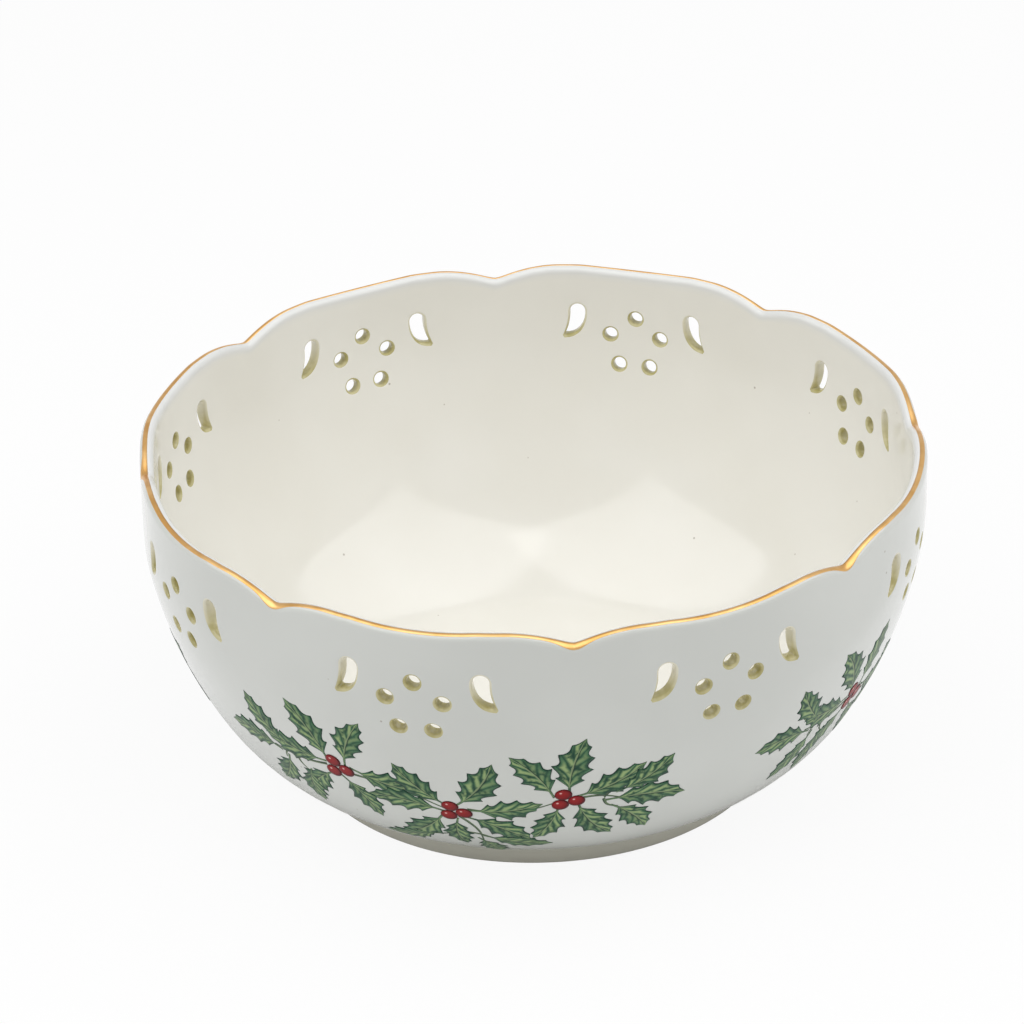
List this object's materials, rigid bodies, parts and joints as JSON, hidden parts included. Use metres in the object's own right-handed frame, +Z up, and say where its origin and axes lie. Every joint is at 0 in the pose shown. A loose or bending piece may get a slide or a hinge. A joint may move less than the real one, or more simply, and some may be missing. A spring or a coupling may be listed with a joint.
{
  "type": "pierced bowl",
  "caption": "Round porcelain serving bowl with a lobed, pierced rim, a gilt line, holly transfers and a low foot ring.",
  "frame": {"origin": "middle of the foot ring's standing face", "axes": "+Z up along the bowl's axis; X and Y point to the middles of rim lobes, and -Y is the front"},
  "size_m": [0.2162, 0.2162, 0.0955],
  "materials": {
    "glazed_porcelain": "clear gloss glaze over an ivory body, unglazed where it stands",
    "gilding": "burnished gold, fired on the glaze",
    "leaf_print": "glossy green enamel, fired on the glaze",
    "berry_print": "glossy red enamel, fired on the glaze",
    "stem_print": "glossy grey-green enamel, fired on the glaze"
  },
  "bodies": {
    "root": {"porcelain_bowl": "glazed_porcelain", "gilt_rim_line": "gilding", "front_holly_leaves": "leaf_print", "right_holly_leaves": "leaf_print", "back_holly_leaves": "leaf_print", "left_holly_leaves": "leaf_print", "front_holly_berries": "berry_print", "right_holly_berries": "berry_print", "back_holly_berries": "berry_print", "left_holly_berries": "berry_print", "front_holly_stems": "stem_print", "right_holly_stems": "stem_print", "back_holly_stems": "stem_print", "left_holly_stems": "stem_print"}
  },
  "joints": []
}
